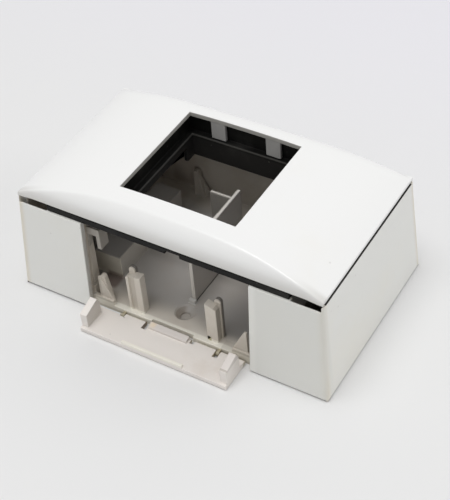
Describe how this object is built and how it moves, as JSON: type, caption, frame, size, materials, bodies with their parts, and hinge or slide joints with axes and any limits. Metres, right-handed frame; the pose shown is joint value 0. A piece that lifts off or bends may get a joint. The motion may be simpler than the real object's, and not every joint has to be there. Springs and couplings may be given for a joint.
{
  "type": "surface-mounting wiring box with two-module cover frame",
  "caption": "White surface-mounting wiring box with a domed cover frame, square module opening, black support frame, inner divider and hinged coupling flap at a wide cable entry.",
  "frame": {"origin": "centre of the wall face, on the plane that goes against the wall", "axes": "+X along the length of the box, -Y out of the cable entry, +Z out of the wall through the module opening"},
  "size_m": [0.125, 0.0844, 0.0525],
  "materials": {
    "white_shell": "fine satin moulded plastic, greyed white",
    "black_frame": "matte black moulded plastic",
    "white_cover": "polished white plastic",
    "warm_white": "satin moulded plastic, slightly yellowed",
    "white_divider": "satin moulded plastic"
  },
  "bodies": {
    "box": {"base_box": "white_shell", "support_frame": "black_frame", "divider_plate": "white_divider"},
    "cover": {"cover_frame": "white_cover"},
    "flap": {"front_flap": "warm_white"}
  },
  "joints": [
    {"name": "cover_lift", "type": "slide", "parent": "box", "child": "cover", "axis": [0, 0, 1], "range_m": [0, 0.02]},
    {"name": "flap_hinge", "type": "hinge", "parent": "box", "child": "flap", "pos_m": [0, -0.0352, 0.00105], "axis": [-1, 0, 0], "range_deg": [0, 35]}
  ]
}
